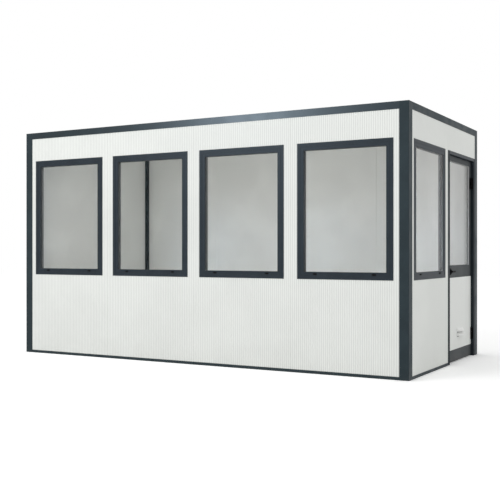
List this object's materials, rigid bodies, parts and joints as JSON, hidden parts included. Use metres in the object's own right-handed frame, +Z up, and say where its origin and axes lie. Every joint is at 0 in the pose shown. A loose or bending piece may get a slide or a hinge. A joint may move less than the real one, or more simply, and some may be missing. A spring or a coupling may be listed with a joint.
{
  "type": "security guard booth",
  "caption": "Flat-roofed guard booth of off-white insulated panels in a dark aluminium frame, glazed along the front, with a half-glazed hinged door in one end.",
  "frame": {"origin": "on the ground under the middle of the booth", "axes": "+Z up, -Y out of the long glazed front, +X out of the end with the door"},
  "size_m": [4.755, 2.4, 2.6],
  "materials": {
    "frame": "anthracite powder coat, satin",
    "wall_panel": "off-white coated sheet, satin, fine vertical ribs",
    "roof_panel": "off-white coated sheet, satin",
    "door_panel": "off-white coated sheet, satin",
    "vent": "white, matt",
    "glass": "clear, faintly grey",
    "handle": "black, satin",
    "hinge": "black, satin",
    "drain_cap": "black, matt"
  },
  "bodies": {
    "booth": {"back_base_rail": "frame", "back_left_post": "frame", "back_panel_1": "wall_panel", "back_panel_2": "wall_panel", "back_panel_3": "wall_panel", "back_panel_4": "wall_panel", "back_right_post": "frame", "back_top_rail": "frame", "door_head": "frame", "door_head_panel": "wall_panel", "door_hinge_frame_halves": "hinge", "door_hinge_jamb": "frame", "door_latch_jamb": "frame", "door_side_strip": "wall_panel", "front_base_rail": "frame", "front_left_post": "frame", "front_panel_1": "wall_panel", "front_panel_2": "wall_panel", "front_panel_3": "wall_panel", "front_panel_4": "wall_panel", "front_right_post": "frame", "front_top_rail": "frame", "front_window_frame_1": "frame", "front_window_frame_2": "frame", "front_window_frame_3": "frame", "front_window_frame_4": "frame", "front_window_pane_1": "glass", "front_window_pane_2": "glass", "front_window_pane_3": "glass", "front_window_pane_4": "glass", "left_base_rail": "frame", "left_panel_1": "wall_panel", "left_panel_2": "wall_panel", "left_top_rail": "frame", "right_base_rail": "frame", "right_top_rail": "frame", "right_window_frame": "frame", "right_window_pane": "glass", "right_window_panel": "wall_panel", "roof_panel_1": "roof_panel", "roof_panel_2": "roof_panel", "roof_panel_3": "roof_panel", "roof_panel_4": "roof_panel", "window_drain_caps": "drain_cap"},
    "door": {"door_leaf_frame": "frame", "door_glass": "glass", "door_lower_panel": "door_panel", "door_vent": "vent", "door_hinge_leaf_halves": "hinge", "door_handle_plates": "handle", "door_lever_handle": "handle"}
  },
  "joints": [
    {"name": "door_hinge", "type": "hinge", "parent": "booth", "child": "door", "pos_m": [2.3535, 1.031, 0], "axis": [0, 0, 1], "range_deg": [0, 100]}
  ]
}
